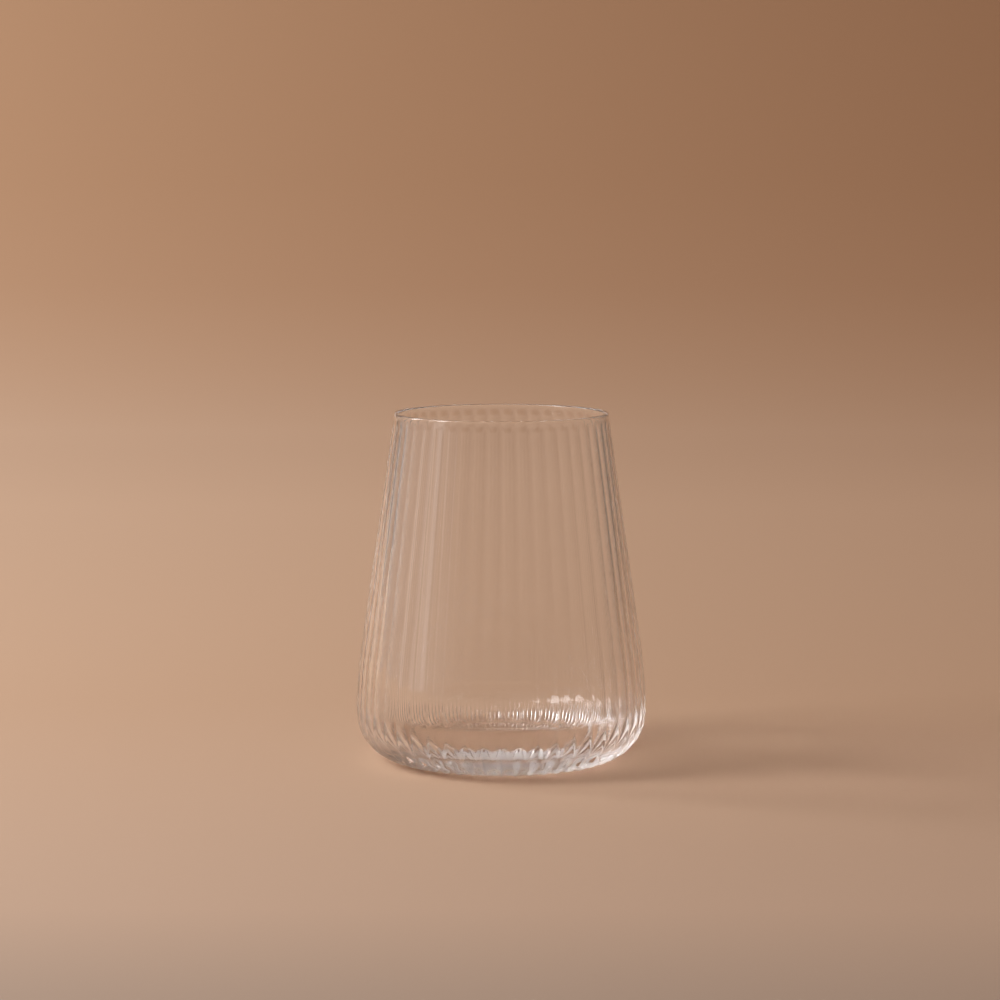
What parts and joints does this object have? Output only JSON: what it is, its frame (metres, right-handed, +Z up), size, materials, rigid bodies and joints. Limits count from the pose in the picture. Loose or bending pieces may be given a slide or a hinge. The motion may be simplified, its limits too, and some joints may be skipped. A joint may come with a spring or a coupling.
{
  "type": "fluted tea glass",
  "caption": "Clear tea glass that narrows towards a thin smooth lip, with fine upright flutes down the wall and round the heel, and a thick base.",
  "frame": {"origin": "centre of the bottom, on the plane of the foot ring that the glass stands on", "axes": "+Z up along the axis of the glass, towards the lip; X and Y are alike"},
  "size_m": [0.09, 0.09, 0.108],
  "materials": {
    "clear_glass": "polished"
  },
  "bodies": {
    "root": {"lip": "clear_glass", "fluted_wall": "clear_glass", "base": "clear_glass"}
  },
  "joints": []
}
